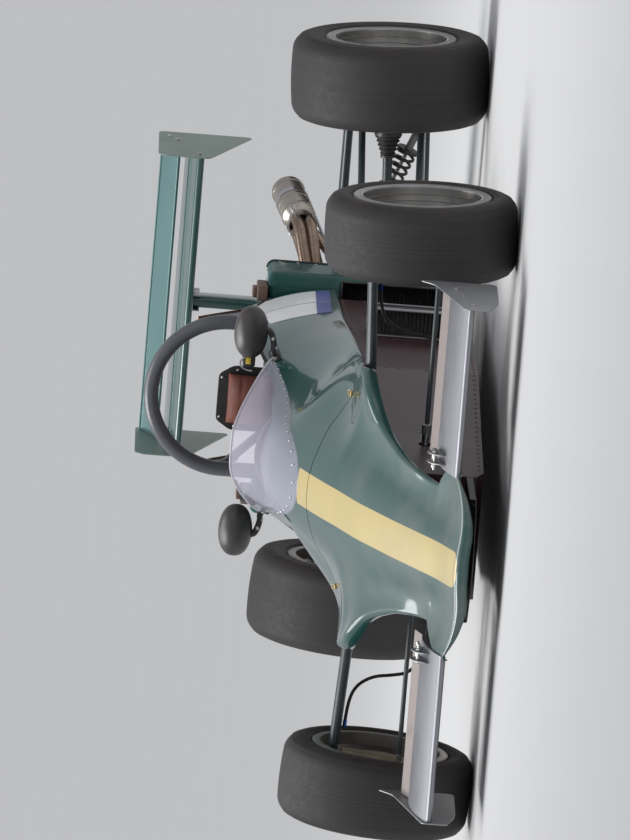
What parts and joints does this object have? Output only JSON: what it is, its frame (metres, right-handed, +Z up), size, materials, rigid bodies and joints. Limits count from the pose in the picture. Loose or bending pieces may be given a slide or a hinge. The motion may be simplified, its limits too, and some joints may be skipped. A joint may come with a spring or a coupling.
{
  "type": "open wheel racing car",
  "caption": "Single seat open wheel racing car with front and rear wings, slick tyres, roll hoop and a side exit exhaust.",
  "frame": {"origin": "on the ground under the middle of the car's length and width", "axes": "+X to the driver's left, +Y to the rear, +Z up; the nose points along -Y"},
  "size_m": [1.7648, 3.975, 0.9218],
  "materials": {
    "body_paint": "gloss two stage paint",
    "wing_green": "gloss two stage paint",
    "wing_alloy": "polished sheet",
    "tub_dark": "semi gloss dark maroon",
    "panel_white": "gloss white with a blue band",
    "screen_clear": "clear sheet",
    "satin_black": "satin black",
    "arm_steel": "plated",
    "cast_alloy": "as cast",
    "disc_iron": "ground faces",
    "rim_silver": "silver painted",
    "tyre_rubber": "matt slick tread",
    "soft_rubber": "smooth",
    "shaft_steel": "turned",
    "engine_alloy": "as cast",
    "intake_black": "spun",
    "exhaust_steel": "heat tinted",
    "seat_shell": "grey",
    "trim_hide": "soft",
    "light_red": "moulded lens"
  },
  "bodies": {
    "chassis": {"brake_hoses": "soft_rubber", "cockpit_surround": "body_paint", "cowl_brackets": "arm_steel", "dash_panel": "tub_dark", "engine": "engine_alloy", "exhaust": "exhaust_steel", "front_endplates": "wing_alloy", "front_flaps": "wing_alloy", "front_rockers": "satin_black", "front_wings": "wing_alloy", "front_wishbones": "arm_steel", "gearbox": "cast_alloy", "headrest": "trim_hide", "headrest_plate": "satin_black", "intake": "intake_black", "jack_bar": "arm_steel", "mirrors": "satin_black", "nose_frame": "tub_dark", "nose_shell": "body_paint", "number_panels": "panel_white", "oil_coolers": "cast_alloy", "rack_housing": "arm_steel", "radiator_cowls": "body_paint", "radiators": "cast_alloy", "radius_rods": "arm_steel", "rain_light": "light_red", "rear_dampers": "arm_steel", "rear_endplates": "wing_green", "rear_links": "satin_black", "rear_uprights": "cast_alloy", "rear_wing_flap": "wing_green", "rear_wing_main": "wing_green", "roll_hoop": "satin_black", "seat": "seat_shell", "tub": "tub_dark", "windscreen": "screen_clear", "wing_post": "satin_black"},
    "knuckle_left": {"upright_left": "cast_alloy", "caliper_left": "cast_alloy"},
    "knuckle_right": {"upright_right": "cast_alloy", "caliper_right": "cast_alloy"},
    "wheel_front_left": {"tyre_front_left": "tyre_rubber", "rim_front_left": "rim_silver", "brake_disc_left": "disc_iron"},
    "wheel_front_right": {"tyre_front_right": "tyre_rubber", "rim_front_right": "rim_silver", "brake_disc_right": "disc_iron"},
    "wheel_rear_left": {"tyre_rear_left": "tyre_rubber", "rim_rear_left": "rim_silver", "half_shaft_left": "shaft_steel"},
    "wheel_rear_right": {"tyre_rear_right": "tyre_rubber", "rim_rear_right": "rim_silver", "half_shaft_right": "shaft_steel"},
    "steering_wheel": {"steering_wheel": "trim_hide", "steering_column": "arm_steel"},
    "steering_rack": {"steering_rack": "arm_steel"}
  },
  "joints": [
    {"name": "steering_wheel_turn", "type": "hinge", "parent": "chassis", "child": "steering_wheel", "pos_m": [0, -0.4975, 0.498], "axis": [0, 0.9397, 0.342], "range_deg": [-155, 155]},
    {"name": "knuckle_left_steer", "type": "hinge", "parent": "chassis", "child": "knuckle_left", "pos_m": [0.686, -1.1875, 0.142], "axis": [-0.0936, 0, 0.9956], "range_deg": [-18.1, 18.1]},
    {"name": "knuckle_right_steer", "type": "hinge", "parent": "chassis", "child": "knuckle_right", "pos_m": [-0.686, -1.1875, 0.142], "axis": [0.0936, 0, 0.9956], "range_deg": [-18.1, 18.1]},
    {"name": "rack_slide", "type": "slide", "parent": "chassis", "child": "steering_rack", "axis": [1, 0, 0], "range_m": [-0.0249, 0.0249]},
    {"name": "front_left_wheel_spin", "type": "hinge", "parent": "knuckle_left", "child": "wheel_front_left", "pos_m": [0.745, -1.1875, 0.25688], "axis": [0.9986, 0, 0.0523], "continuous": true},
    {"name": "front_right_wheel_spin", "type": "hinge", "parent": "knuckle_right", "child": "wheel_front_right", "pos_m": [-0.745, -1.1875, 0.25688], "axis": [0.9986, 0, -0.0523], "continuous": true},
    {"name": "rear_left_wheel_spin", "type": "hinge", "parent": "chassis", "child": "wheel_rear_left", "pos_m": [0.75, 1.3025, 0.27935], "axis": [0.9986, 0, 0.0523], "continuous": true},
    {"name": "rear_right_wheel_spin", "type": "hinge", "parent": "chassis", "child": "wheel_rear_right", "pos_m": [-0.75, 1.3025, 0.27935], "axis": [0.9986, 0, -0.0523], "continuous": true}
  ],
  "couplings": [
    {"joint": "knuckle_left_steer", "follows": "steering_wheel_turn", "ratio": 0.11613},
    {"joint": "knuckle_right_steer", "follows": "steering_wheel_turn", "ratio": 0.11613},
    {"joint": "rack_slide", "follows": "steering_wheel_turn", "m_per_rad": 0.009138}
  ]
}
